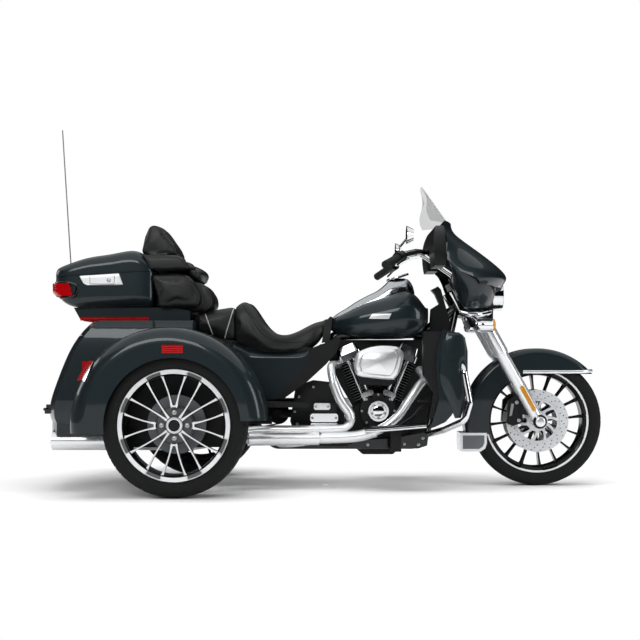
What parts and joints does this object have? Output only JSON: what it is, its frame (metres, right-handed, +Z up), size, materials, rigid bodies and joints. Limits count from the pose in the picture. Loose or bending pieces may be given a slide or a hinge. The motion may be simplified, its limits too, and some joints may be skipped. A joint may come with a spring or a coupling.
{
  "type": "motorized trike",
  "caption": "Touring motor trike with a fork-mounted fairing and screen, a finned twin engine, a trunk between two fendered rear wheels, and a top case with backrest pads.",
  "frame": {"origin": "on the floor under the middle of the overall length and width", "axes": "+X forward, +Y to the rider's left, +Z up"},
  "size_m": [2.668, 1.39, 1.7672],
  "materials": {
    "paint": "gloss",
    "chrome": "polished",
    "black_steel": "satin",
    "black_engine": "wrinkle",
    "steel": "satin",
    "wheel_metal": "machined",
    "tyre": "matte",
    "leather": "satin",
    "black_plastic": "satin",
    "lens_red": "gloss",
    "rubber": "matte",
    "clear": "gloss"
  },
  "bodies": {
    "chassis": {"frame": "black_steel", "engine_case": "black_engine", "cylinders": "black_engine", "rocker_covers": "chrome", "pushrod_tubes": "chrome", "air_cleaner": "chrome", "gearbox": "black_engine", "primary_cover": "chrome", "exhaust_pipes": "chrome", "mufflers": "chrome", "rear_axle": "black_steel", "drive_belt": "rubber", "rear_body": "paint", "rear_valance": "paint", "tail_lamps": "lens_red", "case": "paint", "case_lamps": "lens_red", "case_rack": "black_plastic", "case_latch": "chrome", "aerial": "black_steel", "case_pads": "leather", "pillion_seat": "leather", "rider_seat": "leather", "tank": "paint", "console": "chrome", "side_panels": "paint", "dark_covers": "black_plastic", "crash_bars": "chrome", "leg_shields": "paint", "radiators": "black_plastic", "footboards": "chrome", "pillion_boards": "black_plastic", "foot_controls": "chrome"},
    "front_end": {"fork": "black_steel", "front_axle": "steel", "front_fender": "paint", "calipers": "black_steel", "outer_fairing": "paint", "headlamp": "chrome", "nacelle": "black_plastic", "inner_fairing": "black_plastic", "windshield": "clear", "turn_lamps": "chrome", "handlebar": "chrome", "grips": "rubber", "controls": "black_steel", "mirrors": "chrome"},
    "front_wheel_body": {"front_wheel": "wheel_metal", "front_tyre": "tyre"},
    "rear_wheel_right_body": {"rear_wheel_right": "wheel_metal", "rear_tyre_right": "tyre"},
    "rear_wheel_left_body": {"rear_wheel_left": "wheel_metal", "rear_tyre_left": "tyre"},
    "lid_body": {"case_lid": "paint", "lid_pads": "leather"},
    "door_body": {"trunk_door": "paint"}
  },
  "joints": [
    {"name": "steering", "type": "hinge", "parent": "chassis", "child": "front_end", "pos_m": [0.6528, 0, 0.96], "axis": [-0.4384, 0, 0.8988], "range_deg": [-30, 30]},
    {"name": "front_wheel_spin", "type": "hinge", "parent": "front_end", "child": "front_wheel_body", "pos_m": [1.022, 0, 0.313], "axis": [0, 1, 0], "continuous": true},
    {"name": "rear_wheel_right_spin", "type": "hinge", "parent": "chassis", "child": "rear_wheel_right_body", "pos_m": [-0.668, -0.5325, 0.321], "axis": [0, 1, 0], "continuous": true},
    {"name": "rear_wheel_left_spin", "type": "hinge", "parent": "chassis", "child": "rear_wheel_left_body", "pos_m": [-0.668, 0.5325, 0.321], "axis": [0, 1, 0], "continuous": true},
    {"name": "lid_hinge", "type": "hinge", "parent": "chassis", "child": "lid_body", "pos_m": [-1.268, 0.279, 0.995], "axis": [-0.9978, 0, -0.0656], "range_deg": [0, 80]},
    {"name": "door_hinge", "type": "hinge", "parent": "chassis", "child": "door_body", "pos_m": [-1.326, 0, 0.3755], "axis": [0, -1, 0], "range_deg": [0, 90]}
  ]
}
